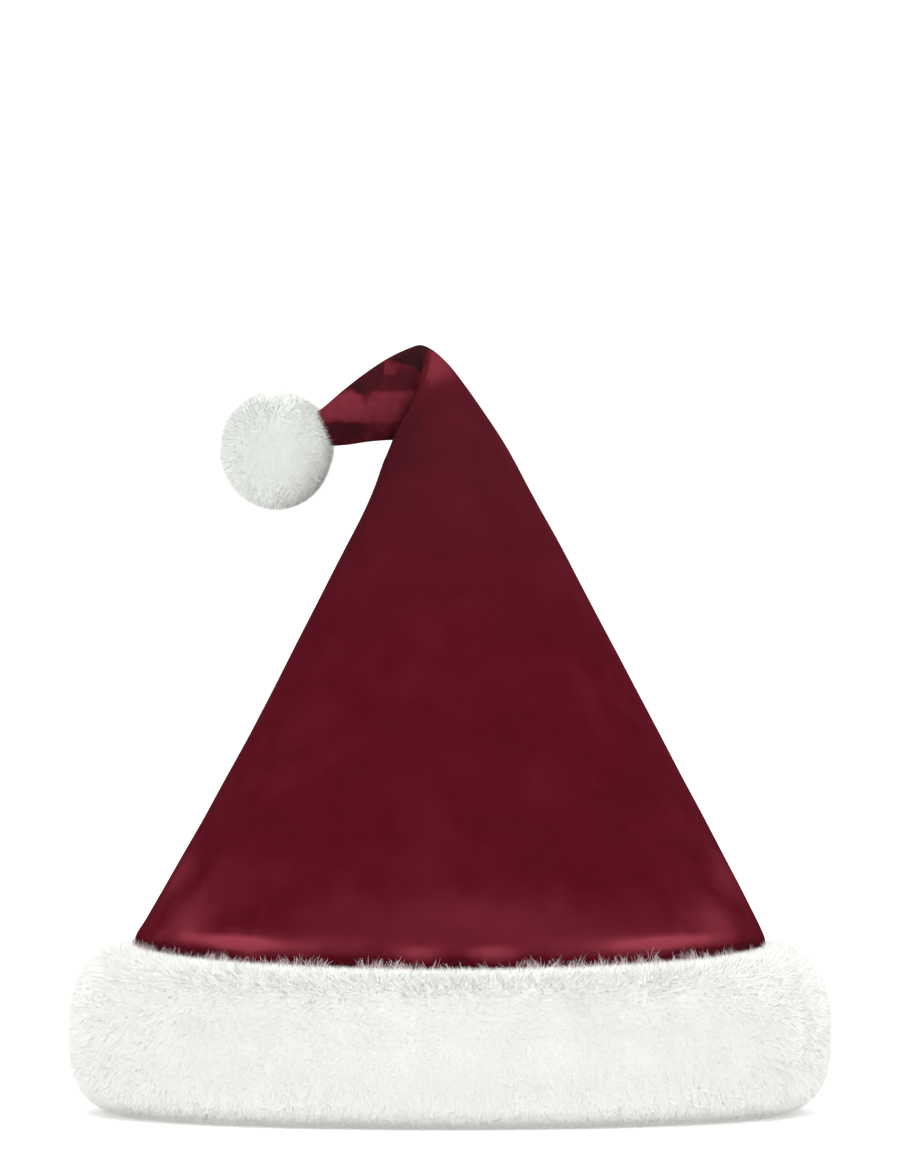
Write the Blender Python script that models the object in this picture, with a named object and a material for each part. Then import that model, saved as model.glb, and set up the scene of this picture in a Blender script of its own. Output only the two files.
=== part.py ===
"""A santa hat: a velvet cone whose tip is tucked in and hangs to one side, a deep fur brim
folded round the cone's edge, and a fur pompom sewn to the tip.

+Z is up and the hat rests on z = 0, with the origin under the middle of the brim. -Y is the
front, and the tip hangs towards -X. Sizes are millimetres, turned into metres by MM.
"""

import bisect
import math
import random
from collections import namedtuple

import bmesh
import bpy
from mathutils import Vector

MM = 0.001

# Driving dimensions
CROWN_RADIUS = 100.0  # outside of the velvet at the head line
CLOTH = 1.3  # velvet wall
SEAT_GAP = 0.3  # between pieces that touch
BRIM_HEIGHT = 55.0
BRIM_DEPTH = 21.7  # how far the fur stands out from the velvet
POMPOM_RADIUS = 17.9

# Crown
COLUMNS = 32  # points round each section
CROWN_EDGE_Z = 3.3  # the cut edge, standing in the brim's fold
SHOULDER_Z = 55.5  # where the upright band turns into the cone
SHOULDER_RADIUS = 11.0
CONE_TOP_Z = 199.0
CONE_TOP_RADIUS = 24.4
CONE_BOW = 1.4  # the cone leans this far to +X half way up
CONE_DIP = 0.9  # and its side dips inwards this far
CONE_ROWS = 7

Section = namedtuple("Section", "inner_x inner_z outer_x outer_z half_depth")
# Above the straight cone each section runs from the inside of the bend to the ridge. These
# turn about the inside of the bend, up to the mouth that the tip comes out of.
BEND = (
    Section(-22.0, 204.0, 17.8, 209.8, 20.0),
    Section(-21.3, 206.0, 9.4, 222.5, 17.5),
    Section(-20.8, 207.2, 3.9, 230.1, 15.5),
    Section(-20.3, 208.2, -2.1, 237.6, 14.0),
)
MOUTH = Section(-19.9, 209.0, -7.8, 242.3, 12.5)
# The hanging tip, from the mouth to its gathered end inside the pompom
TIP = (
    Section(-18.4, 213.3, -12.0, 242.4, 8.1),
    Section(-22.5, 213.2, -19.1, 238.9, 7.9),
    Section(-27.2, 212.8, -26.5, 234.0, 7.4),
    Section(-32.6, 212.4, -33.7, 228.4, 6.8),
    Section(-38.2, 212.0, -40.8, 222.4, 5.8),
    Section(-43.2, 211.8, -45.6, 219.2, 4.2),
    Section(-48.4, 211.7, -49.8, 216.6, 2.8),
)

# The tuck: at the mouth the cloth turns in, runs back inside the cone and out again. back is
# a share of the tuck's length, layer counts cloth layers inwards, ahead is the share of the
# way along the ridge, where there is no tuck.
Fold = namedtuple("Fold", "back layer ahead")
TUCK = (
    Fold(-0.06, 0.4, 0.18),
    Fold(0.00, 0.8, 0.35),
    Fold(1.00, 1.2, 0.52),
    Fold(1.06, 1.6, 0.68),
    Fold(1.00, 2.0, 0.84),
)
TUCK_LENGTH = 8.0
TUCK_LAYER = 2.4  # cloth plus the space between two layers
TUCK_STARTS = math.radians(45)  # round the section from the ridge

# Soft dents and rises of the hanging tip: place along it and round it from the ridge (the
# front is 90), how wide each way, and how far the cloth moves out
Dent = namedtuple("Dent", "along round_deg along_width round_width out")
TIP_DENTS = (
    Dent(0.10, 52, 0.14, 24, -2.0),
    Dent(0.40, 40, 0.12, 22, -1.6),
    Dent(0.45, 92, 0.30, 20, 1.0),
    Dent(0.68, 128, 0.14, 22, -1.5),
    Dent(0.30, -60, 0.16, 26, -1.6),
    Dent(0.62, -120, 0.16, 26, -1.2),
)

# Brim
BRIM_COLUMNS = 120  # an even number, because locks alternate with the dips between them
LOCK_ROWS = 16
FIRST_LOCK_SHARE = 0.05  # of the outline's length, from the velvet
LOCKED_SHARE = 0.80
# Exponents of the superellipse that the fur's outline follows: rounder above its middle
BRIM_TOP_SQUARENESS = 2.25
BRIM_FOOT_SQUARENESS = 2.9
FRONT_DROP = 4.0  # the top is this much lower at the front and back than at the sides
FOOT_RADIUS = 106.0  # outer edge of the flat that the hat rests on
LOCK_HEIGHT = 2.6
LOCK_LEAN = 0.38  # how far a lock's end hangs down, as a share of a row
HEM_THICKNESS = 3.0
HEM_HEIGHT = 16.0
FOLD_THICKNESS = 3.0  # fur under the velvet's edge

# Pompom
POMPOM_CENTRE = (-55.3, 0.0, 209.9)
POMPOM_DETAIL = 3
TUFT_HEIGHT = 2.6

VELVET_COLOUR = (0.105, 0.007, 0.014, 1.0)
FUR_COLOUR = (0.85, 0.87, 0.83, 1.0)


def clear_scene():
    for old in list(bpy.data.objects):
        bpy.data.objects.remove(old)


def material(name, colour, roughness):
    made = bpy.data.materials.new(name)
    made.use_nodes = True
    shader = made.node_tree.nodes["Principled BSDF"]
    shader.inputs["Base Color"].default_value = colour
    shader.inputs["Roughness"].default_value = roughness
    shader.inputs["Metallic"].default_value = 0.0
    return made


def make_object(name, bm, surface, parent):
    """An object from bm, in millimetres, with its scale applied."""
    bmesh.ops.scale(bm, vec=(MM, MM, MM), verts=bm.verts)
    bmesh.ops.recalc_face_normals(bm, faces=bm.faces)
    mesh = bpy.data.meshes.new(name)
    bm.to_mesh(mesh)
    bm.free()
    mesh.materials.append(surface)
    mesh.shade_smooth()
    mesh.set_sharp_from_angle(angle=math.radians(50))
    made = bpy.data.objects.new(name, mesh)
    made.parent = parent
    bpy.context.scene.collection.objects.link(made)
    return made


def skin(bm, rings, closed=False):
    """Quads between neighbouring rings of vertices, all with the same count."""
    pairs = list(zip(rings, rings[1:]))
    if closed:
        pairs.append((rings[-1], rings[0]))
    for low, high in pairs:
        for i in range(len(low)):
            j = (i + 1) % len(low)
            bm.faces.new((low[i], low[j], high[j], high[i]))


def smoothstep(x):
    x = min(1.0, max(0.0, x))
    return x * x * (3 - 2 * x)


# Crown
def section_points(section, shift=None):
    """Points round one section, from the ridge by the front. shift(angle) moves each."""
    inner = Vector((section.inner_x, 0, section.inner_z))
    outer = Vector((section.outer_x, 0, section.outer_z))
    centre = (inner + outer) / 2
    reach = (outer - inner) / 2
    points = []
    for column in range(COLUMNS):
        angle = 2 * math.pi * column / COLUMNS
        depth = Vector((0, -section.half_depth * math.sin(angle), 0))
        point = centre + reach * math.cos(angle) + depth
        if shift:
            point += shift(angle)
        points.append(point)
    return points


def level_section(z, radius, centre_x=0.0):
    return Section(centre_x - radius, z, centre_x + radius, z, radius)


def cone_sections():
    """The upright band inside the brim, the shoulder and the straight cone."""
    wall = CLOTH / 2
    upright = CROWN_RADIUS - wall
    lean = math.atan2(upright - CONE_TOP_RADIUS, CONE_TOP_Z - SHOULDER_Z)
    sections = [level_section(z, upright) for z in (CROWN_EDGE_Z, SHOULDER_Z / 2)]
    arc_x = upright - SHOULDER_RADIUS
    arc_z = SHOULDER_Z - SHOULDER_RADIUS * math.tan(lean / 2)
    for share in (0.0, 0.5, 1.0):
        turn = lean * share
        radius = arc_x + SHOULDER_RADIUS * math.cos(turn)
        sections.append(level_section(arc_z + SHOULDER_RADIUS * math.sin(turn), radius))
    start_z = sections[-1].inner_z
    start_radius = sections[-1].half_depth
    top_radius = CONE_TOP_RADIUS - wall
    for row in range(1, CONE_ROWS + 1):
        share = row / CONE_ROWS
        z = start_z + (CONE_TOP_Z - start_z) * share
        radius = start_radius + (top_radius - start_radius) * share
        radius -= CONE_DIP * math.sin(math.pi * share)
        centre_x = CONE_BOW * math.sin(math.pi * share)
        sections.append(level_section(z, radius, centre_x))
    return sections


def tuck_rings():
    """Points of the tuck between the mouth and the first section of the hanging tip."""
    inner = Vector((MOUTH.inner_x, 0, MOUTH.inner_z))
    outer = Vector((MOUTH.outer_x, 0, MOUTH.outer_z))
    along_mouth = (outer - inner).normalized()
    into_cone = Vector((along_mouth.z, 0, -along_mouth.x))
    ridge_end = Vector((TIP[0].outer_x, 0, TIP[0].outer_z))
    for fold in TUCK:
        step_in = fold.layer * TUCK_LAYER
        low = inner + along_mouth * step_in
        high = outer.lerp(ridge_end, fold.ahead)
        section = Section(low.x, low.z, high.x, high.z, MOUTH.half_depth - step_in)

        def shift(angle, fold=fold):
            from_ridge = math.acos(math.cos(angle))
            depth = smoothstep((from_ridge - TUCK_STARTS) / (math.pi - TUCK_STARTS))
            return into_cone * (TUCK_LENGTH * fold.back * depth)

        yield section_points(section, shift)


def dented(points, along):
    """The points of a tip section, moved in and out by TIP_DENTS."""
    centre = sum(points, Vector()) / len(points)
    moved = []
    for column, point in enumerate(points):
        degrees = 360 * column / COLUMNS
        out = 0.0
        for dent in TIP_DENTS:
            apart = (degrees - dent.round_deg + 180) % 360 - 180
            near = (apart / dent.round_width) ** 2
            near += ((along - dent.along) / dent.along_width) ** 2
            out += dent.out * math.exp(-near)
        moved.append(point + (point - centre).normalized() * out)
    return moved


def make_crown(parent, velvet):
    rings = [section_points(section) for section in (*cone_sections(), *BEND, MOUTH)]
    rings.extend(tuck_rings())
    for row, section in enumerate(TIP):
        rings.append(dented(section_points(section), row / (len(TIP) - 1)))
    bm = bmesh.new()
    made = [[bm.verts.new(point) for point in ring] for ring in rings]
    skin(bm, made)
    bmesh.ops.triangulate(bm, faces=[bm.faces.new(made[-1])])
    crown = make_object("crown", bm, velvet, parent)
    wall = crown.modifiers.new("cloth", "SOLIDIFY")
    wall.thickness = CLOTH * MM
    wall.offset = 0.0
    wall.use_rim = True
    return crown


# Brim
def superellipse(turn):
    """Depth out and height, both from the middle and as shares, of the fur's outline."""
    power = 2 / (BRIM_TOP_SQUARENESS if turn > 0 else BRIM_FOOT_SQUARENESS)
    out = max(math.cos(turn), 0.0) ** power
    rise = math.copysign(abs(math.sin(turn)) ** power, turn)
    return out, rise


def even_turns(steps=400):
    """For every share of the outline's length, the superellipse's own angle."""
    turns = [math.pi * (0.5 - step / steps) for step in range(steps + 1)]
    places = [superellipse(turn) for turn in turns]
    length = [0.0]
    for (out_a, rise_a), (out_b, rise_b) in zip(places, places[1:]):
        across = (out_b - out_a) * BRIM_DEPTH
        down = (rise_b - rise_a) * BRIM_HEIGHT / 2
        length.append(length[-1] + math.hypot(across, down))
    return turns, [part / length[-1] for part in length]


TURNS, TURN_SHARES = even_turns()


def brim_outline(share, angle):
    """Radius and height of the fur's outline: share 0 is the top against the velvet, 1 the
    bottom, by length. The top dips at the front and back."""
    place = min(max(bisect.bisect_left(TURN_SHARES, share), 1), len(TURNS) - 1)
    low, high = TURN_SHARES[place - 1], TURN_SHARES[place]
    part = min(max((share - low) / (high - low), 0.0), 1.0)
    turn = TURNS[place - 1] + (TURNS[place] - TURNS[place - 1]) * part
    out, rise = superellipse(turn)
    middle = BRIM_HEIGHT / 2
    half = middle
    if rise > 0:
        half -= FRONT_DROP * math.sin(angle) ** 2
    return CROWN_RADIUS + SEAT_GAP + BRIM_DEPTH * out, middle + half * rise


def lock_point(row, column, rng):
    """A grid point of the fur: the end of a lock, or the dip between locks."""
    row_share = LOCKED_SHARE / (LOCK_ROWS - 1)
    angle = 2 * math.pi * column / BRIM_COLUMNS
    share = FIRST_LOCK_SHARE + row_share * row
    is_lock = (row + column) % 2 == 0
    if is_lock:
        angle += rng.uniform(-0.16, 0.16) * 2 * math.pi / BRIM_COLUMNS
        share += (LOCK_LEAN + rng.uniform(-0.15, 0.15)) * row_share
    radius, z = brim_outline(share, angle)
    step = 0.004
    radius_before, z_before = brim_outline(share - step, angle)
    radius_after, z_after = brim_outline(share + step, angle)
    outward = Vector((z_before - z_after, radius_after - radius_before)).normalized()
    sunk = 0.0 if is_lock else LOCK_HEIGHT
    if is_lock:
        sunk = rng.uniform(0.0, 0.3) * LOCK_HEIGHT
    radius -= sunk * outward.x
    z = max(z - sunk * outward.y, 0.6)
    return Vector((radius * math.cos(angle), radius * math.sin(angle), z))


def plain_ring(radius, z):
    """Points of a level ring. z may be a function of the angle."""
    points = []
    for column in range(BRIM_COLUMNS):
        angle = 2 * math.pi * column / BRIM_COLUMNS
        height = z(angle) if callable(z) else z
        points.append(Vector((radius * math.cos(angle), radius * math.sin(angle), height)))
    return points


def make_brim(parent, fur):
    rng = random.Random(25)
    seat = CROWN_RADIUS + SEAT_GAP
    flat_of_section = math.cos(math.pi / COLUMNS)
    channel = (CROWN_RADIUS - CLOTH) * flat_of_section - SEAT_GAP
    hem = channel - HEM_THICKNESS
    edge = 1.0

    def top_z(angle):
        return brim_outline(0.0, angle)[1] - LOCK_HEIGHT - 1.5

    rings = [plain_ring(seat, FOLD_THICKNESS), plain_ring(seat, top_z)]
    for row in range(LOCK_ROWS):
        rings.append([lock_point(row, column, rng) for column in range(BRIM_COLUMNS)])
    rings.append(plain_ring(FOOT_RADIUS, 0.0))
    rings.append(plain_ring(hem + edge, 0.0))
    rings.append(plain_ring(hem, edge))
    rings.append(plain_ring(hem, HEM_HEIGHT - edge))
    rings.append(plain_ring(channel - edge, HEM_HEIGHT))
    rings.append(plain_ring(channel, HEM_HEIGHT - edge))
    rings.append(plain_ring(channel, FOLD_THICKNESS))
    bm = bmesh.new()
    made = [[bm.verts.new(point) for point in ring] for ring in rings]
    first_lock_ring = 2
    for row in range(LOCK_ROWS - 1):
        low = made[first_lock_ring + row]
        high = made[first_lock_ring + row + 1]
        for column in range(BRIM_COLUMNS):
            after = (column + 1) % BRIM_COLUMNS
            corners = (low[column], low[after], high[after], high[column])
            start = 1 if (row + column) % 2 == 0 else 0
            a, b, c, d = corners[start:] + corners[:start]
            # The cut runs between the two dips, so that every lock is a whole point.
            bm.faces.new((a, b, c))
            bm.faces.new((a, c, d))
    skin(bm, made[: first_lock_ring + 1])
    skin(bm, made[first_lock_ring + LOCK_ROWS - 1 :] + made[:1])
    return make_object("brim", bm, fur, parent)


# Pompom
def socket_cutter(parent):
    """The tip's end, grown by the seat gap, that is cut out of the pompom."""
    grow = CLOTH / 2 + SEAT_GAP
    bm = bmesh.new()
    rings = []
    for section in TIP[3:]:
        points = section_points(section)
        centre = sum(points, Vector()) / len(points)
        points = [point + (point - centre).normalized() * (grow + 0.2) for point in points]
        rings.append([bm.verts.new(point) for point in points])
    end_way = (Vector(POMPOM_CENTRE) - Vector((-38.2, 0, 216.0))).normalized()
    rings.append([bm.verts.new(vert.co + end_way * grow * 1.5) for vert in rings[-1]])
    skin(bm, rings)
    bm.faces.new(rings[0])
    bm.faces.new(rings[-1])
    cutter = make_object("socket_cutter", bm, None, parent)
    cutter.hide_render = True
    cutter.display_type = "WIRE"
    return cutter


def make_pompom(parent, fur):
    rng = random.Random(12)
    bm = bmesh.new()
    bmesh.ops.create_icosphere(bm, subdivisions=POMPOM_DETAIL, radius=POMPOM_RADIUS)
    tufts = list(bm.verts)
    between = list(bm.edges)
    dips = bmesh.ops.poke(bm, faces=bm.faces[:])["verts"]
    # Turning each first edge joins the two dips beside it, and makes every tuft a whole point.
    bmesh.ops.rotate_edges(bm, edges=between, use_ccw=False)
    for vert in tufts:
        way = vert.co.normalized()
        lean = Vector([rng.uniform(-0.05, 0.05) for _ in range(3)])
        vert.co = (way + lean).normalized() * (POMPOM_RADIUS - rng.uniform(0.0, 0.7))
    for vert in dips:
        vert.co = vert.co.normalized() * (POMPOM_RADIUS - TUFT_HEIGHT)
    bmesh.ops.translate(bm, vec=POMPOM_CENTRE, verts=bm.verts)
    pompom = make_object("pompom", bm, fur, parent)
    socket = pompom.modifiers.new("socket", "BOOLEAN")
    socket.operation = "DIFFERENCE"
    socket.solver = "EXACT"
    socket.object = socket_cutter(parent)
    return pompom


def main():
    clear_scene()
    hat = bpy.data.objects.new("santa_hat", None)
    bpy.context.scene.collection.objects.link(hat)
    velvet = material("velvet", VELVET_COLOUR, 0.75)
    fur = material("fur", FUR_COLOUR, 0.95)
    make_crown(hat, velvet)
    make_brim(hat, fur)
    make_pompom(hat, fur)


main()
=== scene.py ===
import math
from collections import namedtuple

import bpy
import numpy as np
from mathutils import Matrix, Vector, noise


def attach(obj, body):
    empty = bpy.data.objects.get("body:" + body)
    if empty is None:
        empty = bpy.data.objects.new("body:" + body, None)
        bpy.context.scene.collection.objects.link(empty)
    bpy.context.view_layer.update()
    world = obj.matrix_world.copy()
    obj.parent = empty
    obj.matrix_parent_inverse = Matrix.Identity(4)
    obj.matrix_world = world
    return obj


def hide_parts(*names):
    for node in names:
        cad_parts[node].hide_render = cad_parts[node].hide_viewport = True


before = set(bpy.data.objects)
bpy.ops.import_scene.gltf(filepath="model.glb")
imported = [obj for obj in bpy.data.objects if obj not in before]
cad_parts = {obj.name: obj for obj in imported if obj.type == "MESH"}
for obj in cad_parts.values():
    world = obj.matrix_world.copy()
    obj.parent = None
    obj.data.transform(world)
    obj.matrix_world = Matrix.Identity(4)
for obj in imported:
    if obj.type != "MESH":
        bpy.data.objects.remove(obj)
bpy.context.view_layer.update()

# Crown
# Burgundy velvet, sewn up the back into a cone that stands in the fold of the fur brim. Its
# point is pushed back into the cone, so that the tip comes out of a pleat and hangs to one side.
MM = 0.001
CROWN_RADIUS = 100.0
CLOTH = 1.3
MIDDLE_RADIUS = CROWN_RADIUS - CLOTH / 2
CROWN_EDGE_Z = 3.3
SHOULDER_Z = 55.5
SHOULDER_RADIUS = 6.0
CONE_TOP_Z = 199.0
CONE_TOP_RADIUS = 24.4 - CLOTH / 2
CONE_BOW = 1.5
CONE_DIP = 1.05
TUCK_LENGTH = 8.0
TUCK_LAYER = 2.4
TUCK_STARTS = math.radians(22)
MOUTH_HOLLOW = 3.0
PEAK_ROUNDING = 0.6
BACK_SEAM = math.radians(270)

# Heights up the cone where it is measured, as shares of it, and the rows of cloth after each
CONE_SHARES = (0.02, 0.07, 0.19, 0.34, 0.5, 0.67, 0.84, 1)
CONE_STEPS = (3, 6, 9, 10, 10, 10, 10, 5)

# The bend and the tip in cuts across them, each from its inner side, by the tip, to its outer side
Section = namedtuple("Section", "inner_x inner_z outer_x outer_z half_depth steps")
BEND = (
    Section(-22.0, 204.0, 18.0, 209.8, 20.0, 6),
    Section(-21.1, 206.4, 9.8, 222.5, 17.5, 5),
    Section(-20.3, 208.1, 4.4, 230.1, 15.5, 5),
    Section(-19.5, 209.9, -1.5, 237.5, 14.0, 4),
)
MOUTH = Section(-18.7, 211.6, -7.2, 242.1, 12.5, 3)
TIP = (
    Section(-18.2, 213.9, -11.6, 242.3, 8.1, 14),
    Section(-22.4, 213.7, -19.0, 238.9, 7.9, 15),
    Section(-27.2, 213.2, -26.5, 234.0, 7.4, 15),
    Section(-32.6, 212.4, -33.7, 228.4, 6.8, 15),
    Section(-38.2, 212.0, -40.8, 222.4, 5.8, 12),
    Section(-43.2, 211.8, -45.6, 219.2, 4.2, 6),
    Section(-48.4, 211.7, -49.8, 216.6, 2.8, 1),
)

# The pleat's folds: how far back into the cone, how many cloths in, and how far along the ridge
Fold = namedtuple("Fold", "back layer ahead")
TUCK = (
    Fold(0.00, 0.4, 0.18),
    Fold(0.06, 0.8, 0.35),
    Fold(1.00, 1.2, 0.52),
    Fold(1.06, 1.6, 0.68),
    Fold(1.00, 2.0, 0.84),
)

# The crushed tip's facets, painted in turn: their corners across and up in the front's plane, how
# far each stands out, its tone from -1, painted shade in a pocket, to 1, a painted highlight, and how
# soft its edge is
Facet = namedtuple("Facet", "corners out tone soft")
FRONT_FACETS = (
    Facet(
        ((-22.9, 228.6), (-17.6, 227.9), (-12.0, 229.2), (-9.9, 233.2), (-11.6, 235.5), (-20.4, 234.3)),
        out=-0.5, tone=-0.28, soft=0.8,
    ),
    Facet(((-27.7, 219.2), (-16.4, 219.6), (-11.2, 229.0), (-25.0, 228.3)), 0.6, 0.36, 1.1),
    Facet(
        ((-42.5, 221.5), (-39.5, 218.8), (-27.7, 219.2), (-23.3, 228.0), (-29.6, 228.2), (-31.8, 230.4)),
        out=0.5, tone=0.45, soft=1.8,
    ),
    Facet(
        (
            (-32.0, 230.3), (-29.6, 227.9), (-25.8, 227.6), (-22.9, 228.8),
            (-20.3, 234.3), (-20.8, 238.0), (-24.9, 236.0),
        ),
        out=-1.0, tone=-0.5, soft=0.5,
    ),
    Facet(
        ((-32.0, 230.3), (-29.6, 227.9), (-27.0, 227.8), (-27.2, 231.5), (-29.6, 231.9)),
        out=-0.5, tone=-0.85, soft=0.6,
    ),
    Facet(((-20.9, 237.9), (-20.4, 233.6), (-17.1, 233.9), (-17.3, 236.5)), 0.6, 0.28, 0.7),
    Facet(((-19.3, 239.1), (-10.8, 235.6), (-7.0, 243.5), (-14.0, 244.5)), -2.2, -0.9, 0.35),
    Facet(((-11.0, 236.0), (-9.1, 233.2), (-6.5, 243.5), (-10.2, 243.0)), -1.0, -0.9, 0.35),
    Facet(((-11.0, 242.2), (-9.6, 239.1), (-9.3, 239.1), (-10.6, 242.3)), 0.5, 0.16, 0.2),
    Facet(
        (
            (-40.6, 217.6), (-38.2, 214.4), (-34.1, 213.0), (-27.6, 213.8),
            (-25.3, 216.4), (-27.6, 218.5), (-35.4, 219.1),
        ),
        out=-1.4, tone=-0.54, soft=0.8,
    ),
    Facet(((-20.8, 213.6), (-17.6, 213.0), (-15.9, 218.0)), -1.0, -0.85, 0.5),
)
# On the cone by the tip: painted shade under the tip beside the mouth, and a painted highlight by the
# mouth's top
CONE_FACETS = (
    Facet(((-18.0, 204.0), (-10.0, 204.0), (-9.0, 222.0), (-14.5, 222.0)), 0.0, -0.32, 5.0),
    Facet(
        ((-10.2, 234.4), (-6.0, 231.2), (-0.6, 233.4), (0.4, 238.4), (-4.0, 242.0), (-8.6, 241.0)),
        out=0.3, tone=0.50, soft=2.8,
    ),
)
# On the back of the tip: a painted highlight on a ridge, and painted shade in its pockets
BACK_FACETS = (
    Facet(
        ((-41.0, 220.6), (-37.0, 217.8), (-22.0, 221.6), (-19.0, 228.6), (-30.0, 228.4)),
        out=0.6, tone=0.32, soft=2.0,
    ),
    Facet(((-22.0, 234.0), (-16.0, 230.0), (-10.4, 233.0), (-11.5, 240.5)), -1.6, -0.6, 1.8),
    Facet(((-36.0, 215.4), (-25.0, 213.8), (-21.0, 218.4), (-30.0, 218.0)), -1.0, -0.5, 1.4),
)

# Painted highlights on the cone, most of them just above the fur where its low roll catches the light:
# place round the hat (the front is 270), height above the fur's edge, how wide and high the patch is,
# and its tone
PaintedHighlight = namedtuple("PaintedHighlight", "round_deg above round_width height tone")
PAINTED_HIGHLIGHTS = (
    PaintedHighlight(226.5, 4.9, 13.5, 1.9, 1.00),
    PaintedHighlight(313.5, 4.9, 13.5, 1.9, 1.00),
    PaintedHighlight(238, 5.2, 18, 3.2, 0.30),
    PaintedHighlight(302, 5.2, 18, 3.2, 0.30),
    PaintedHighlight(264.3, 4.2, 3.4, 1.9, 0.70),
    PaintedHighlight(277.4, 4.2, 3.4, 1.9, 0.70),
    PaintedHighlight(211, 9, 8, 7.0, 0.36),
    PaintedHighlight(329, 9, 8, 7.0, 0.36),
    PaintedHighlight(194, 22, 8, 7.0, 0.26),
    PaintedHighlight(346, 22, 8, 7.0, 0.26),
    PaintedHighlight(262, 12, 24, 9.0, 0.15),
    PaintedHighlight(290, 12, 22, 9.0, 0.13),
    PaintedHighlight(222, 24, 14, 13.0, 0.09),
    PaintedHighlight(40, 4.6, 18, 2.4, 0.70),
    PaintedHighlight(98, 4.2, 22, 2.4, 0.60),
    PaintedHighlight(150, 4.6, 16, 2.2, 0.65),
)
FUR_LINE_Z = 54.6
FRONT_DROP = 4.4

# Lumps that the cloth or the lie of its pile has: how high, about how wide, and which of them
Lumps = namedtuple("Lumps", "height size seed")
SLOW_WAVES = Lumps(0.45, 46, 1)
RIPPLES = Lumps(0.15, 17, 2)
NAP_CLOUDS = Lumps(0.06, 30, 6)
NAP_FLECKS = Lumps(0.06, 11, 7)
ROUGH_EDGE = Lumps(0.5, 7, 8)
CRUSH_COARSE = Lumps(0.22, 2.4, 4)
CRUSH_FINE = Lumps(0.16, 1.2, 5)
CRUMPLES = Lumps(0.25, 5.5, 4)
FACET_WANDER = (Lumps(0.5, 3.2, 9), Lumps(0.5, 3.2, 10))

# The heights where the waves start and are full, and how much of them is left at the sides
WAVES_FROM_Z = 56
WAVES_FULL_Z = 74
WAVES_AT_SIDES = 0.35

# How high the roll under the painted highlights stands, how quickly they end, and the painted shadow
# just above the fur
ROLL_HEIGHT = 0.35
PATCH_ENDS = 1.3
SHADOW_FROM = 2.8
SHADOW_FULL = 0.8
SHADOW_TONE = 0.85
SHADOW_EASED_AT_SIDES = 0.5

# How far along the tip, with the pleat's rows drawn close before it, its crush and relief start, and
# how far round from the tip's edges, in degrees, the relief starts and is full
PLEAT_ROWS = 0.09
CRUSH_FROM = -0.092
CRUSH_FULL = -0.082
RELIEF_FROM = -0.05
RELIEF_FULL = 0.03
EDGE_RELIEF = 0.1
EDGE_FROM = 5
EDGE_FULL = 28
FRONT_FROM = -0.06
FRONT_FULL = 0.3
CRUSH_ON_FACETS = 0.4
RELIEF_SOFTER = 1.0

# Where the cone's side is drawn in under the tip, how far round the back seam the cloth has its own
# columns, and the seam's groove and the puckers beside it
DRAWN_Z = 198
DRAWN_REACH = 30
DRAWN_IN = 0.8
SEAM_CLEAR = 0.035
SEAM_DEPTH = 0.55
SEAM_WIDTH = 0.7
PUCKER_HEIGHT = 0.22
PUCKER_AWAY = 2.4
PUCKER_WIDTH = 1.4
PUCKER_STEP = 1.9

# The pile's colours: two that drift into each other, a mottle, a painted sheen that greys the top,
# painted highlights with paler pile and painted shade with darker pile, then the tint of its sheen
# and the heights where the painted sheen of the top starts and is full
WINE = (0.055, 0.0030, 0.0068, 1)
WINE_WARM = (0.060, 0.0035, 0.0078, 1)
WINE_MOTTLE = (0.067, 0.0042, 0.0095, 1)
PAINTED_SHEEN_TOP = (0.052, 0.0084, 0.0112, 1)
PAINTED_HIGHLIGHT_AND_PALE_PILE = (0.200, 0.0290, 0.0430, 1)
PAINTED_SHADE_AND_DARK_PILE = (0.017, 0.0062, 0.0070, 1)
SHEEN_TINT = (1.0, 0.34, 0.42, 1.0)
PALE_FROM_METRES = 0.14
PALE_FULL_METRES = 0.215


def fur_line(angle):
    """Height of the fur's upper edge on the velvet: lower at the front and back."""
    return FUR_LINE_Z - FRONT_DROP * (np.sin(angle) ** 2) ** 0.6


def ring_of(section, angles, shift=0.0):
    """Points round one section, from the outside of the bend by the front."""
    inner = np.array((section.inner_x, 0.0, section.inner_z))
    outer = np.array((section.outer_x, 0.0, section.outer_z))
    across = (outer - inner) / 2 * np.cos(angles)[:, None]
    depth = np.outer(np.sin(angles) * -section.half_depth, (0.0, 1.0, 0.0))
    return (inner + outer) / 2 + across + depth + shift


def level_section(z, radius, centre_x=0.0, steps=1):
    return Section(centre_x - radius, z, centre_x + radius, z, radius, steps)


def cone_sections():
    """The band inside the brim, the shoulder above it and the cone."""
    lean = math.atan2(MIDDLE_RADIUS - CONE_TOP_RADIUS, CONE_TOP_Z - SHOULDER_Z)
    yield level_section(CROWN_EDGE_Z, MIDDLE_RADIUS, steps=3)
    yield level_section(SHOULDER_Z / 2, MIDDLE_RADIUS, steps=4)
    arc_x = MIDDLE_RADIUS - SHOULDER_RADIUS
    arc_z = SHOULDER_Z - SHOULDER_RADIUS * math.tan(lean / 2)
    for share in (0.0, 0.5, 1.0):
        radius = arc_x + SHOULDER_RADIUS * math.cos(lean * share)
        z = arc_z + SHOULDER_RADIUS * math.sin(lean * share)
        yield level_section(z, radius, steps=3)
    for share, steps in zip(CONE_SHARES, CONE_STEPS):
        curve = max(math.sin(math.pi * share), 0)
        side = radius + (CONE_TOP_RADIUS - radius) * share - CONE_DIP * curve
        yield level_section(z + (CONE_TOP_Z - z) * share, side, CONE_BOW * curve**0.6, steps)


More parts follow.
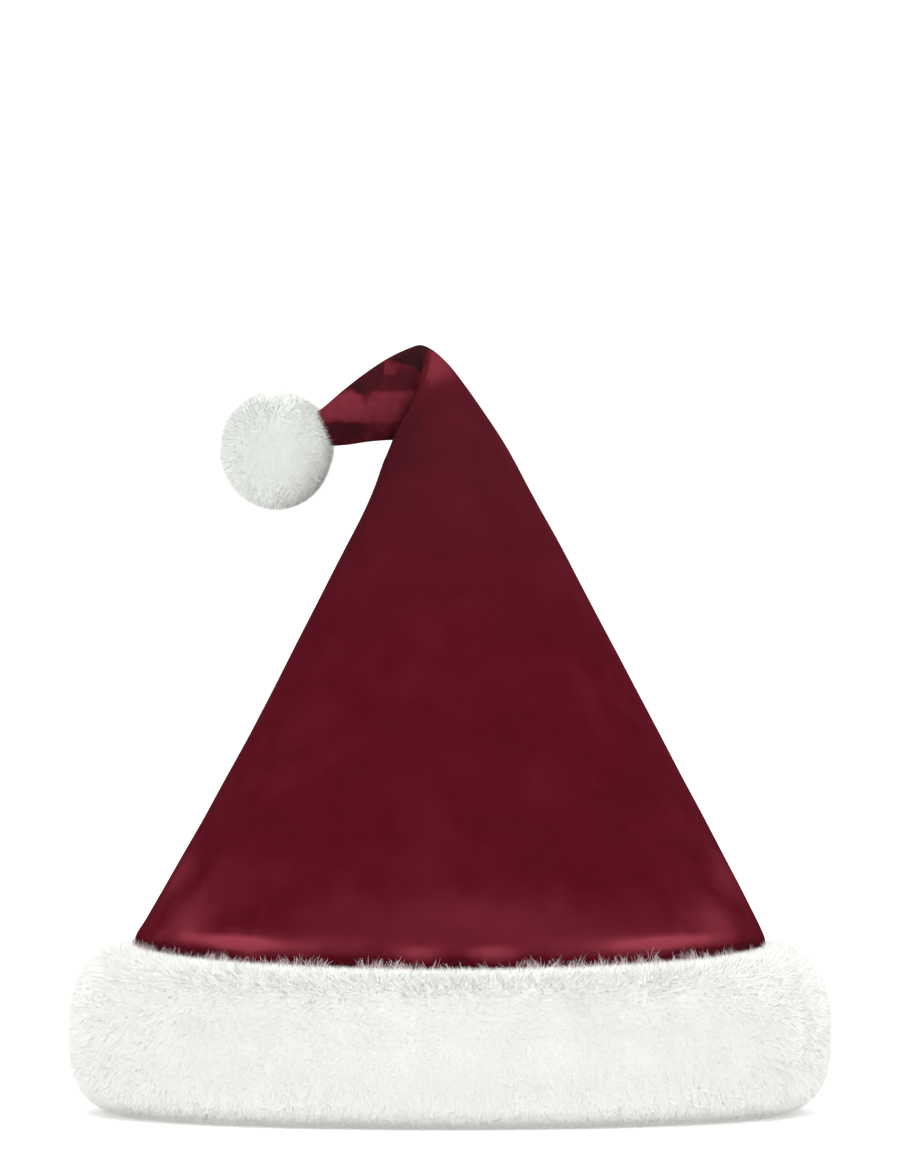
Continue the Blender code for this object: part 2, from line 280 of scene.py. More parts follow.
def tuck_rings(angles):
    """The mouth, and the pleat at it: in under the cone's cloth, back, and out as the tip."""
    inner = np.array((MOUTH.inner_x, 0.0, MOUTH.inner_z))
    outer = np.array((MOUTH.outer_x, 0.0, MOUTH.outer_z))
    along = (outer - inner) / np.linalg.norm(outer - inner)
    into_cone = np.array((along[2], 0.0, -along[0]))
    ridge_end = np.array((TIP[0].outer_x, 0.0, TIP[0].outer_z))
    bowed = MOUTH_HOLLOW * np.sin(angles) ** 2 * (1 + 0.6 * np.cos(angles))
    hollow = np.outer(bowed, into_cone)
    yield ring_of(MOUTH, angles, hollow)
    from_ridge = np.arccos(np.cos(angles))
    depth = np.clip((from_ridge - TUCK_STARTS) / (math.pi - TUCK_STARTS), 0, 1)
    depth = depth * depth * (3 - 2 * depth)
    for fold in TUCK:
        step_in = fold.layer * TUCK_LAYER
        low = inner + along * step_in
        high = outer + (ridge_end - outer) * fold.ahead
        high[2] += PEAK_ROUNDING * math.sin(math.pi * fold.ahead)
        section = Section(low[0], low[2], high[0], high[2], MOUTH.half_depth - step_in, 3)
        into = np.outer(TUCK_LENGTH * fold.back * depth, into_cone)
        yield ring_of(section, angles, into + hollow)


def smooth_rows(rings, steps):
    """Rows of points on smooth curves through the rings, with so many steps after each ring."""
    gaps = [np.linalg.norm(b - a, axis=1)[:, None] + 1e-6 for a, b in zip(rings, rings[1:])]
    slopes = [(rings[1] - rings[0]) / gaps[0]]
    for i in range(1, len(rings) - 1):
        before = (rings[i] - rings[i - 1]) / gaps[i - 1]
        after = (rings[i + 1] - rings[i]) / gaps[i]
        slopes.append((before * gaps[i] + after * gaps[i - 1]) / (gaps[i] + gaps[i - 1]))
    slopes.append((rings[-1] - rings[-2]) / gaps[-1])
    rows = []
    for i, gap in enumerate(gaps):
        for step in range(steps[i]):
            t = step / steps[i]
            rows.append(
                (2 * t**3 - 3 * t**2 + 1) * rings[i]
                + (t**3 - 2 * t**2 + t) * gap * slopes[i]
                + (3 * t**2 - 2 * t**3) * rings[i + 1]
                + (t**3 - t**2) * gap * slopes[i + 1]
            )
    rows.append(rings[-1])
    return np.array(rows)


def outward_of(rows):
    """The cloth's outward direction at each point of the rows."""
    round_way = np.roll(rows, -1, 1) - np.roll(rows, 1, 1)
    up_way = np.gradient(rows, axis=0)
    way = np.cross(up_way, round_way)
    return way / (np.linalg.norm(way, axis=2, keepdims=True) + 1e-9)


def soft_noise(points, size, seed):
    """Smooth noise from -1 to 1 at each point, with lumps of about that size in millimetres."""
    moved = points.reshape(-1, 3) / size + seed * 17.3
    found = [noise.noise(Vector(point)) for point in moved]
    return np.array(found).reshape(points.shape[:-1])


def lumps_on(points, lumps):
    return lumps.height * soft_noise(points, lumps.size, lumps.seed)


def smooth_share(value, start, end):
    """0 at the start and 1 at the end, with no corner at either."""
    share = np.clip((value - start) / (end - start), 0, 1)
    return share * share * (3 - 2 * share)


# Columns of cloth all round, set close together at the back seam
seam_columns = np.array((-0.030, -0.016, -0.009, -0.004, 0.0, 0.004, 0.009, 0.016, 0.030))
even_columns = np.linspace(0, 2 * math.pi, 168, endpoint=False)
clear_of_seam = np.abs(even_columns - BACK_SEAM) > SEAM_CLEAR
columns = np.sort(np.concatenate((even_columns[clear_of_seam], BACK_SEAM + seam_columns)))
sections = [*cone_sections(), *BEND]
steps = [section.steps for section in sections] + [3] * (len(TUCK) + 1)
steps += [section.steps for section in TIP]
rings = [ring_of(section, columns) for section in sections]
rings += [*tuck_rings(columns), *(ring_of(section, columns) for section in TIP)]
cloth_rows = smooth_rows(rings, steps)

row_places = np.concatenate([i + np.arange(n) / n for i, n in enumerate(steps[: len(rings) - 1])])
row_places = np.append(row_places, len(rings) - 1)
first_tip_ring = len(rings) - len(TIP)
mouth_ring = len(sections)
tip_along = ((row_places - first_tip_ring) / (len(TIP) - 1))[:, None]
column_degrees = np.degrees(columns)[None, :]

# The cone hangs in slow, shallow waves, with a little slack where it comes out of the brim.
height = cloth_rows[:, :, 2]
on_cone = smooth_share(height, WAVES_FROM_Z, WAVES_FULL_Z)
on_cone = on_cone * smooth_share(row_places[:, None], mouth_ring, mouth_ring - 2)
waves = WAVES_AT_SIDES + (1 - WAVES_AT_SIDES) * np.sin(np.radians(column_degrees)) ** 2
lift = lumps_on(cloth_rows, SLOW_WAVES) * on_cone * waves
lift += lumps_on(cloth_rows, RIPPLES) * on_cone
pile_and_painted_light = lumps_on(cloth_rows, NAP_CLOUDS) + lumps_on(cloth_rows, NAP_FLECKS)

# Just above the fur the cloth was pressed into a low roll, and highlights are painted on it where it
# catches the light.
round_place = np.degrees(np.arctan2(cloth_rows[:, :, 1], cloth_rows[:, :, 0])) % 360
above_fur = height - fur_line(np.radians(round_place))
low_cloth = row_places[:, None] < mouth_ring - 1
rough_edge = lumps_on(cloth_rows, ROUGH_EDGE)
for highlight in PAINTED_HIGHLIGHTS:
    apart = (round_place - highlight.round_deg + 180) % 360 - 180
    near = (apart / highlight.round_width) ** 2 + ((above_fur - highlight.above) / highlight.height) ** 2
    patch = np.exp(-((near * (1 + rough_edge)) ** PATCH_ENDS)) * low_cloth
    pile_and_painted_light += highlight.tone * patch
    lift += ROLL_HEIGHT * highlight.tone * patch
# Painted shadow: the cloth just above the fur is darkened, a little less at the sides.
painted_shadow_strength = SHADOW_TONE - SHADOW_EASED_AT_SIDES * np.cos(np.radians(round_place)) ** 4
pile_and_painted_light -= painted_shadow_strength * smooth_share(above_fur, SHADOW_FROM, SHADOW_FULL) * low_cloth

# The tip's facets, each pressed in or standing out, with painted shade in its pockets and painted
# highlights on its ridges, and finer crumples over them all. They stop short of its top and bottom
# edges, which stay clean.
tip_along = np.where(tip_along < 0, tip_along * PLEAT_ROWS, tip_along)
on_tip = smooth_share(tip_along, CRUSH_FROM, CRUSH_FULL)
from_edges = np.minimum(np.abs((column_degrees + 180) % 360 - 180), np.abs(column_degrees - 180))
off_edges = EDGE_RELIEF + (1 - EDGE_RELIEF) * smooth_share(from_edges, EDGE_FROM, EDGE_FULL)
off_edges = smooth_share(tip_along, RELIEF_FROM, RELIEF_FULL) * off_edges
across_wander, up_wander = (lumps_on(cloth_rows, lumps) for lumps in FACET_WANDER)
across = cloth_rows[:, :, 0] + across_wander
up = height + up_wander


def within(corners, soft):
    """1 inside a facet's corners and 0 outside them, softened at its edge."""
    inside = np.full(across.shape, 1e3)
    for (x1, z1), (x2, z2) in zip(corners, corners[1:] + corners[:1]):
        away = (x2 - x1) * (up - z1) - (z2 - z1) * (across - x1)
        inside = np.minimum(inside, away / math.hypot(x2 - x1, z2 - z1))
    return smooth_share(inside, -soft, soft)


crushed = lumps_on(cloth_rows * (1, 1, 0.7), CRUSH_COARSE) + lumps_on(cloth_rows, CRUSH_FINE)
pile_and_painted_light = pile_and_painted_light + crushed * on_tip
front = smooth_share(np.sin(np.radians(column_degrees)), FRONT_FROM, FRONT_FULL)
off_tip = row_places[:, None] < mouth_ring
for facets, there, free in (
    (CONE_FACETS, off_tip * front, off_tip * front),
    (FRONT_FACETS, on_tip * front, off_edges * front),
    (BACK_FACETS, on_tip * (1 - front), off_edges * (1 - front)),
):
    for facet in facets:
        painted = within(facet.corners, facet.soft) * there
        pile_and_painted_light = pile_and_painted_light * (1 - painted) + (facet.tone + CRUSH_ON_FACETS * crushed) * painted
        lift += facet.out * within(facet.corners, facet.soft + RELIEF_SOFTER) * free
lift += lumps_on(cloth_rows * (1, 0.6, 1.3), CRUMPLES) * off_edges

# Under the tip the cone's side is drawn in a little.
drawn = np.exp(-(((height - DRAWN_Z) / DRAWN_REACH) ** 2))
drawn = drawn * np.clip(-np.cos(np.radians(column_degrees)), 0, 1)
before_tip = smooth_share(row_places[:, None], mouth_ring + 2.4, mouth_ring + 1)
cloth_rows[:, :, 0] += DRAWN_IN * drawn**2 * before_tip

# The back seam draws the cloth in along one line and puckers it on either side.
from_seam = np.abs(columns - BACK_SEAM)[None, :] * np.hypot(cloth_rows[:, :, 0], cloth_rows[:, :, 1])
seamed = smooth_share(row_places[:, None], mouth_ring, mouth_ring - 1)
lift -= SEAM_DEPTH * np.exp(-((from_seam / SEAM_WIDTH) ** 2)) * seamed
beside_seam = np.exp(-(((from_seam - PUCKER_AWAY) / PUCKER_WIDTH) ** 2))
lift += PUCKER_HEIGHT * beside_seam * np.sin(height / PUCKER_STEP) * seamed
cloth_rows += outward_of(cloth_rows) * lift[:, :, None]


def mesh_of_rows(name, rows):
    """A mesh of quads round each pair of rows, with a map of round and along for the bakes."""
    row_count, column_count = rows.shape[:2]
    row, column = np.meshgrid(np.arange(row_count - 1), np.arange(column_count), indexing="ij")
    after = (column + 1) % column_count
    corners = (row * column_count + column, row * column_count + after)
    corners += ((row + 1) * column_count + after, (row + 1) * column_count + column)
    quads = np.stack(corners, -1).reshape(-1, 4)
    low, high = column / column_count, (column + 1) / column_count
    bottom, top = row / (row_count - 1), (row + 1) / (row_count - 1)
    places = np.stack((low, bottom, high, bottom, high, top, low, top), -1).reshape(-1, 2)
    mesh = bpy.data.meshes.new(name)
    mesh.vertices.add(row_count * column_count)
    mesh.vertices.foreach_set("co", (rows * MM).ravel())
    mesh.loops.add(quads.size)
    mesh.loops.foreach_set("vertex_index", quads.ravel())
    mesh.polygons.add(len(quads))
    mesh.polygons.foreach_set("loop_start", np.arange(0, quads.size, 4))
    mesh.update(calc_edges=True)
    mesh.uv_layers.new(name="OFBake").uv.foreach_set("vector", places.ravel())
    mesh.shade_smooth()
    made = bpy.data.objects.new(name, mesh)
    bpy.context.scene.collection.objects.link(made)
    return made


def velvet():
    """Short wine-red pile, with painted highlights and painted shade laid over its mottle."""
    made = bpy.data.materials.new("burgundy_velvet")
    made.use_nodes = True
    nodes, links = made.node_tree.nodes, made.node_tree.links
    shader = nodes["Principled BSDF"]
    shader.inputs["Metallic"].default_value = 0.0
    shader.inputs["Specular IOR Level"].default_value = 0.0
    shader.inputs["Sheen Weight"].default_value = 0.015
    shader.inputs["Sheen Roughness"].default_value = 0.3
    shader.inputs["Sheen Tint"].default_value = SHEEN_TINT
    place = nodes.new("ShaderNodeTexCoord")

    def patches(scale, detail, low, high):
        """Noise of one scale, mapped to run from low to high."""
        texture = nodes.new("ShaderNodeTexNoise")
        texture.inputs["Scale"].default_value = scale
        texture.inputs["Detail"].default_value = detail
        links.new(place.outputs["Object"], texture.inputs["Vector"])
        spread = nodes.new("ShaderNodeMapRange")
        spread.inputs["From Min"].default_value = 0.3
        spread.inputs["From Max"].default_value = 0.7
        spread.inputs["To Min"].default_value = low
        spread.inputs["To Max"].default_value = high
        links.new(texture.outputs["Fac"], spread.inputs["Value"])
        return spread.outputs["Result"]

    def mixed(amount, dark, light):
        mix = nodes.new("ShaderNodeMix")
        mix.data_type = "RGBA"
        links.new(amount, mix.inputs["Factor"])
        for socket, colour in ((mix.inputs[6], dark), (mix.inputs[7], light)):
            if isinstance(colour, tuple):
                socket.default_value = colour
            else:
                links.new(colour, socket)
        return mix.outputs[2]

    def height_share(low, high):
        """How far the cloth's height has gone from low to high, no more than half."""
        split = nodes.new("ShaderNodeSeparateXYZ")
        links.new(place.outputs["Object"], split.inputs["Vector"])
        spread = nodes.new("ShaderNodeMapRange")
        spread.interpolation_type = "SMOOTHSTEP"
        spread.inputs["From Min"].default_value = low
        spread.inputs["From Max"].default_value = high
        spread.inputs["To Max"].default_value = 0.5
        links.new(split.outputs["Z"], spread.inputs["Value"])
        return spread.outputs["Result"]

    def pile_and_painted_light_share(low, high):
        """How far the pile's tone, with its painted highlights and shade, has gone from low to high."""
        pile_and_light_node = nodes.new("ShaderNodeAttribute")
        pile_and_light_node.attribute_name = "pile_and_painted_light"
        spread = nodes.new("ShaderNodeMapRange")
        spread.inputs["From Min"].default_value = low
        spread.inputs["From Max"].default_value = high
        links.new(pile_and_light_node.outputs["Fac"], spread.inputs["Value"])
        return spread.outputs["Result"]

    pile = mixed(patches(38, 3, 0, 1), WINE, WINE_WARM)
    mottled = mixed(patches(150, 4, 0, 0.5), pile, WINE_MOTTLE)
    # Painted sheen: the top of the cone is greyer
    high = mixed(height_share(PALE_FROM_METRES, PALE_FULL_METRES), mottled, PAINTED_SHEEN_TOP)
    # Painted highlights, then painted shade, from the pile_and_painted_light attribute
    light = mixed(pile_and_painted_light_share(0.0, 1.0), high, PAINTED_HIGHLIGHT_AND_PALE_PILE)
    shaded = mixed(pile_and_painted_light_share(0.0, -1.0), light, PAINTED_SHADE_AND_DARK_PILE)
    links.new(shaded, shader.inputs["Base Color"])
    links.new(patches(60, 3, 0.55, 0.78), shader.inputs["Roughness"])
    bump = nodes.new("ShaderNodeBump")
    bump.inputs["Strength"].default_value = 0.35
    bump.inputs["Distance"].default_value = 0.0002
    links.new(patches(3200, 2, 0, 1), bump.inputs["Height"])
    links.new(bump.outputs["Normal"], shader.inputs["Normal"])
    return made


crown = mesh_of_rows("velvet_crown", cloth_rows)
crown.data.attributes.new("pile_and_painted_light", "FLOAT", "POINT").data.foreach_set("value", pile_and_painted_light.ravel())
crown.data.materials.append(velvet())
wall = crown.modifiers.new("cloth", "SOLIDIFY")
wall.thickness = CLOTH * MM
wall.offset = 0.0
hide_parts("crown")
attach(crown, "root")

# Brim backing
# White fur cloth wrapped round the velvet's edge, filled so that it stands out as a soft roll,
# with its inner edge turned up inside the hat as a hem. The pile on it is made below.
FUR_FOOT = 0.0
FOOT_RADIUS = 106.0
SEAT_RADIUS = 100.3
SEAT_Z = 3.0
SEAT_DROP = 1.5
BRIM_HEIGHT = FUR_LINE_Z
BRIM_DEPTH = 21.7
BRIM_TOP_SQUARENESS = 2.25
BRIM_FOOT_SQUARENESS = 2.9
PILE_DEPTH = 2.9
CHANNEL_RADIUS = 97.9
HEM_THICKNESS = 3.0
HEM_HEIGHT = 16.0
HEM_ROUNDING = 0.4
BACKING_FROM = 0.03
BACKING_TO = 0.93
BACKING_ROWS = 44
BACKING_COLUMNS = 260
BACKING_LIGHT = (0.95, 0.96, 0.93, 1)
BACKING_DEEP = (0.86, 0.87, 0.84, 1)


def roll_form(turn):
    """How far out and how far up the roll's outline is, as shares of its depth and half height."""
    squareness = np.where(turn > 0, BRIM_TOP_SQUARENESS, BRIM_FOOT_SQUARENESS)
    out = np.maximum(np.cos(turn), 0) ** (2 / squareness)
    rise = np.sign(turn) * np.abs(np.sin(turn)) ** (2 / squareness)
    return out, rise


def even_turns():
    """Turns a share of the outline's length into a share of its half turn."""
    shares = np.linspace(0, 1, 600)
    out, rise = roll_form(math.pi * (0.5 - shares))
    pieces = np.hypot(np.diff(BRIM_DEPTH * out), np.diff(BRIM_HEIGHT / 2 * rise))
    lengths = np.concatenate(([0], np.cumsum(pieces)))
    return lambda share: np.interp(share, lengths / lengths[-1], shares)


half_turn_share = even_turns()


def brim_outline(share, angle):
    """Points of the pile's outer form: share 0 is its top against the velvet, 1 its foot."""
    out, rise = roll_form(math.pi * (0.5 - half_turn_share(share)))
    half = BRIM_HEIGHT / 2 - np.where(rise > 0, FUR_LINE_Z - fur_line(angle), 0)
    radius = SEAT_RADIUS + BRIM_DEPTH * out
    z = BRIM_HEIGHT / 2 + half * rise
    return np.stack((radius * np.cos(angle), radius * np.sin(angle), z), -1)


def brim_frame(share, angle):
    """Point, outward way, and the way down the outline, at each share and angle."""
    step = 0.004
    above = brim_outline(np.clip(share - step, 0, 1), angle)
    below = brim_outline(np.clip(share + step, 0, 1), angle)
    down = below - above
    down /= np.linalg.norm(down, axis=-1, keepdims=True) + 1e-9
    round_way = np.stack((-np.sin(angle), np.cos(angle), np.zeros_like(angle)), -1)
    outward = np.cross(down, round_way)
    return brim_outline(share, angle), outward, down


def fur_cloth():
    """The woven back of the fur with the feet of its pile, seen only between strands."""
    made = bpy.data.materials.new("fur_backing")
    made.use_nodes = True
    nodes, links = made.node_tree.nodes, made.node_tree.links
    shader = nodes["Principled BSDF"]
    shader.inputs["Roughness"].default_value = 0.95
    shader.inputs["Specular IOR Level"].default_value = 0.1
    place = nodes.new("ShaderNodeTexCoord")
    tufts = nodes.new("ShaderNodeTexNoise")
    tufts.inputs["Scale"].default_value = 900
    tufts.inputs["Detail"].default_value = 3
    links.new(place.outputs["Object"], tufts.inputs["Vector"])
    tones = nodes.new("ShaderNodeValToRGB")
    tones.color_ramp.elements[0].position = 0.3
    tones.color_ramp.elements[0].color = BACKING_DEEP
    tones.color_ramp.elements[1].position = 0.7
    tones.color_ramp.elements[1].color = BACKING_LIGHT
    links.new(tufts.outputs["Fac"], tones.inputs["Fac"])
    links.new(tones.outputs["Color"], shader.inputs["Base Color"])
    bump = nodes.new("ShaderNodeBump")
    bump.inputs["Strength"].default_value = 0.6
    bump.inputs["Distance"].default_value = 0.0006
    links.new(tufts.outputs["Fac"], bump.inputs["Height"])
    links.new(bump.outputs["Normal"], shader.inputs["Normal"])
    return made


backing_angles = np.linspace(0, 2 * math.pi, BACKING_COLUMNS, endpoint=False)
backing_rows = []
for share in np.linspace(BACKING_FROM, BACKING_TO, BACKING_ROWS):
    point, outward, _ = brim_frame(np.full(backing_angles.shape, share), backing_angles)
    backing_rows.append(point - outward * PILE_DEPTH)


def level_ring(radius, z):
    angle = backing_angles
    return np.stack((radius * np.cos(angle), radius * np.sin(angle), np.full(angle.shape, z)), -1)


# The rest of the backing, from the seat up and over the roll, and back under it round the hem
inner_edge = HEM_THICKNESS * HEM_ROUNDING
hem_radius = CHANNEL_RADIUS - HEM_THICKNESS
top_of_seat = backing_rows[0] * (1, 1, 0) / np.linalg.norm(backing_rows[0][:, :2], axis=1)[:, None]
top_of_seat = top_of_seat * SEAT_RADIUS + backing_rows[0] * (0, 0, 1) - (0, 0, SEAT_DROP)
closing_rows = [level_ring(SEAT_RADIUS, SEAT_Z), top_of_seat, *backing_rows]
closing_rows += [level_ring(FOOT_RADIUS, FUR_FOOT), level_ring(hem_radius + inner_edge, FUR_FOOT)]
closing_rows += [level_ring(hem_radius, inner_edge), level_ring(hem_radius, HEM_HEIGHT / 2)]
closing_rows += [level_ring(hem_radius, HEM_HEIGHT - inner_edge)]
closing_rows += [level_ring(hem_radius + HEM_THICKNESS / 2, HEM_HEIGHT)]
closing_rows += [level_ring(CHANNEL_RADIUS, HEM_HEIGHT - inner_edge)]
closing_rows += [level_ring(CHANNEL_RADIUS, SEAT_Z), level_ring(SEAT_RADIUS, SEAT_Z)]
backing = mesh_of_rows("brim_backing", np.array(closing_rows)[::-1])
backing.data.materials.append(fur_cloth())
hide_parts("brim")
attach(backing, "root")

# Brim pile
# Fine white acrylic strands that lie every way and lean a little down. Toward the top they grow
# longer, and beside the velvet they stand up. Each is a tapering blade, in four lengths of the brim.
STRANDS_EACH = 162000
STRAND_WIDTH = 0.14
FLOOR_GAP = 0.15
FLOOR_UNEVEN = 0.5

# How unruly a strand is, how far it may roll, how much of its lift a bent one keeps at its middle,
# and the little width that it has on the map, where its place across stands for its whiteness, less
# any painted shade
STRAY = 0.08
ROLL = 0.8
BENT_LIFT = 0.45
BENT_WIDTH = 0.8
MAP_WIDTH = 0.008
LEAST_WHITE = 0.6
MOST_WHITE = 0.98
BAND_SHADE_DEPTH = 0.4

# Multiples of these two numbers, less their whole parts, spread evenly over a quarter of the brim
SPREAD_ROUND = 0.5698402910
SPREAD_DOWN = 0.7548776662

# Shares of the way down the outline: where the pile ends, the edge beside the velvet, and where the
# longer strands of the top start and are full
PILE_TO = 0.95
TOP_EDGE = 0.06
LONGER_FROM = 0.34
LONGER_FULL = 0.11

# The pile's lie: how far it sways aside and leans, with strays, in lumps of a tuft's size, how steep
# it stands in degrees, and how much its depth changes
SWAY = Lumps(0.2, 9, 11)
LEAN = Lumps(4, 12, 16)
ASIDE_STRAYS = 0.6
COMBED_DOWN = 0.5
COMBED_STRAYS = 0.65
PILE_STANDS = 44
TOP_STANDS = 8
PILE_SHORT = 0.7
TOP_LONGER = 0.85
EDGE_SHORTER = 0.3
UNEVEN = 0.12

# The band of painted shade low on the roll, and the lowest root that a strand may have
SHADE_BAND_Z = 13
SHADE_BAND_REACH = 7
LOWEST_ROOT = 0.5
BRIM_ROOTS = (0.94, 0.95, 0.92, 1)
BRIM_TIPS = (0.975, 0.985, 0.955, 1)


def grow_strands(name, root, outward, lay, length, lift, width, rng, facing=None, band_shade=0, bent=False):
    """Tapering strands: lift is the angle off the cloth at the root, toward lay."""
    count = len(root)
    first = lay * np.cos(lift)[:, None] + outward * np.sin(lift)[:, None]
    second = lay * np.cos(lift * BENT_LIFT)[:, None] + outward * np.sin(lift * BENT_LIFT)[:, None]
    stray = rng.normal(0, STRAY, (2, count, 3)) * length[:, None]
    middle = root + first * length[:, None] * 0.5 + stray[0] * 0.5
    tip = middle + (second if bent else first) * length[:, None] * 0.5 + stray[1]
    side = np.cross(first, outward)
    side /= np.linalg.norm(side, axis=1, keepdims=True) + 1e-9
    roll = rng.uniform(-ROLL, ROLL, count)[:, None]
    side = side * np.cos(roll) + np.cross(first, side) * np.sin(roll)
    half = side * (width / 2)[:, None]
    if bent:
        waist = half * BENT_WIDTH
        points = np.stack((root - half, root + half, middle - waist, middle + waist, tip), 1)
        corners = np.array((0, 1, 3, 0, 3, 2, 2, 3, 4))
        places = ((0, 0), (MAP_WIDTH, 0), (0, 0.5), (MAP_WIDTH, 0.5), (MAP_WIDTH / 2, 1))
    else:
        points = np.stack((root - half, root + half, tip), 1)
        corners = np.array((0, 1, 2))
        places = ((0, 0), (MAP_WIDTH, 0), (MAP_WIDTH / 2, 1))
    each = points.shape[1]
    off_floor = FLOOR_GAP + FLOOR_UNEVEN * rng.uniform(0, 1, (count, 1))
    points[..., 2] = np.maximum(points[..., 2], off_floor)
    places = np.array(places)[corners]
    # Painted shade: strands in the shaded band sit further across the map, where the fur's colour is
    # darker.
    whiteness_and_shade = rng.uniform(LEAST_WHITE, MOST_WHITE, count) - BAND_SHADE_DEPTH * band_shade
    places = places + whiteness_and_shade[:, None, None] * (1, 0)
    corners = (np.arange(count)[:, None] * each + corners).reshape(-1, 3)
    mesh = bpy.data.meshes.new(name)
    mesh.vertices.add(count * each)
    mesh.vertices.foreach_set("co", (points * MM).ravel())
    mesh.loops.add(corners.size)
    mesh.loops.foreach_set("vertex_index", corners.ravel())
    mesh.polygons.add(len(corners))
    mesh.polygons.foreach_set("loop_start", np.arange(0, corners.size, 3))
    mesh.update(calc_edges=True)
    mesh.uv_layers.new(name="OFBake").uv.foreach_set("vector", places.ravel())
    mesh.shade_smooth()
    facing = outward if facing is None else facing
    mesh.normals_split_custom_set_from_vertices(np.repeat(facing, each, 0))
    made = bpy.data.objects.new(name, mesh)
    bpy.context.scene.collection.objects.link(made)
    return made


def lit_way(outward, up, down, tilt=0.0):
    """The way that strands are lit from: outward, with its slope up or down eased, and a tilt up."""
    slope = outward[:, 2]
    way = np.column_stack((outward[:, :2], slope * np.where(slope < 0, down, up) + tilt))
    return way / (np.linalg.norm(way, axis=1, keepdims=True) + 1e-9)


def fur(name, root_colour, tip_colour):
    """Acrylic pile: a little deeper at the root, no two strands quite the same white, and darker with
    painted shade where the map's place across is low.
    """
    made = bpy.data.materials.new(name)
    made.use_nodes = True
    nodes, links = made.node_tree.nodes, made.node_tree.links
    shader = nodes["Principled BSDF"]
    shader.inputs["Roughness"].default_value = 0.8
    shader.inputs["Specular IOR Level"].default_value = 0.2
    shader.inputs["Sheen Weight"].default_value = 0.2
    shader.inputs["Sheen Roughness"].default_value = 0.5
    place = nodes.new("ShaderNodeUVMap")
    place.uv_map = "OFBake"
    split = nodes.new("ShaderNodeSeparateXYZ")
    links.new(place.outputs["UV"], split.inputs["Vector"])
    tones = nodes.new("ShaderNodeValToRGB")
    tones.color_ramp.elements[0].color = root_colour
    tones.color_ramp.elements[1].position = 0.7
    tones.color_ramp.elements[1].color = tip_colour
    links.new(split.outputs["Y"], tones.inputs["Fac"])
    shade = nodes.new("ShaderNodeMapRange")
    shade.inputs["To Min"].default_value = 0.90
    shade.inputs["To Max"].default_value = 1.0
    links.new(split.outputs["X"], shade.inputs["Value"])
    varied = nodes.new("ShaderNodeMix")
    varied.data_type = "RGBA"
    varied.blend_type = "MULTIPLY"
    varied.inputs["Factor"].default_value = 1.0
    links.new(tones.outputs["Color"], varied.inputs[6])
    links.new(shade.outputs["Result"], varied.inputs[7])
    links.new(varied.outputs[2], shader.inputs["Base Color"])
    return made


brim_fur = fur("brim_fur", BRIM_ROOTS, BRIM_TIPS)
rng = np.random.default_rng(7)
for quarter in range(4):
    number = np.arange(STRANDS_EACH)
    angle = (quarter + number * SPREAD_ROUND % 1) * math.pi / 2
    share = number * SPREAD_DOWN % 1 * PILE_TO
    point, outward, down = brim_frame(share, angle)
    root = point - outward * PILE_DEPTH
    round_way = np.cross(outward, down)
    aside = lumps_on(point, SWAY) + rng.normal(0, ASIDE_STRAYS, STRANDS_EACH)
    inmost = share < TOP_EDGE
    combed = np.where(inmost, 0.0, COMBED_DOWN) + rng.normal(0, COMBED_STRAYS, STRANDS_EACH)
    lay = down * combed[:, None] + round_way * aside[:, None]
    lay /= np.linalg.norm(lay, axis=1, keepdims=True) + 1e-6
    lift = np.radians(PILE_STANDS + lumps_on(point, LEAN) + TOP_STANDS * inmost)
    fuller = TOP_LONGER * smooth_share(share, LONGER_FROM, LONGER_FULL) - EDGE_SHORTER * inmost
    room = PILE_DEPTH - PILE_SHORT + fuller + rng.normal(0, UNEVEN, STRANDS_EACH)
    length = room / np.sin(lift)
    width = np.full(STRANDS_EACH, STRAND_WIDTH)
    facing = lit_way(outward, up=1.3, down=0.2)
    # Painted shade in a band low on the roll
    band_shade = np.exp(-(((point[:, 2] - SHADE_BAND_Z) / SHADE_BAND_REACH) ** 2))
    kept = np.flatnonzero(root[:, 2] > LOWEST_ROOT)
    pile = grow_strands(
        f"brim_pile_{quarter + 1}",
        root[kept],
        outward[kept],
        lay[kept],
        length[kept],
        lift[kept],
        width[kept],
        rng,
        facing=facing[kept],
        band_shade=band_shade[kept],
    )
    pile.data.materials.append(brim_fur)
    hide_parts("brim")
    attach(pile, "root")

# Wisps at the velvet
# Longer stray strands along the fur's upper edge stand up against the velvet in loose, uneven tufts.
# They are so thin that red shows through, and that red is painted into their colour as pink. They
# are fewer and shorter at the sides.
WISPS = 5200
WISP_TUFTS = Lumps(1.0, 13, 31)
SMALL_TUFTS = Lumps(0.6, 4, 32)
PARTED = Lumps(1.9, 3.2, 33)
PARTED_STRAYS = 0.4
TUFT_RANGE = (-0.5, 1.1)
FEWER_AT_SIDES = 0.4
SHORTER_AT_SIDES = 0.45
WISP_ROOT_RADIUS = (100.2, 101.0)
WISP_ROOT_DEPTH = (0.4, 2.0)
WISP_TO_VELVET = 0.4
WISP_LENGTH = (2.4, 5.2)
LONGER_IN_TUFTS = 0.5
WISP_STANDS = (1, 14)
WISP_WIDTH = (0.05, 0.09)
# Painted light: the velvet's red seen through the wisps, as pink
WISP_ROOTS = (0.70, 0.52, 0.54, 1)
WISP_TIPS = (0.92, 0.84, 0.85, 1)

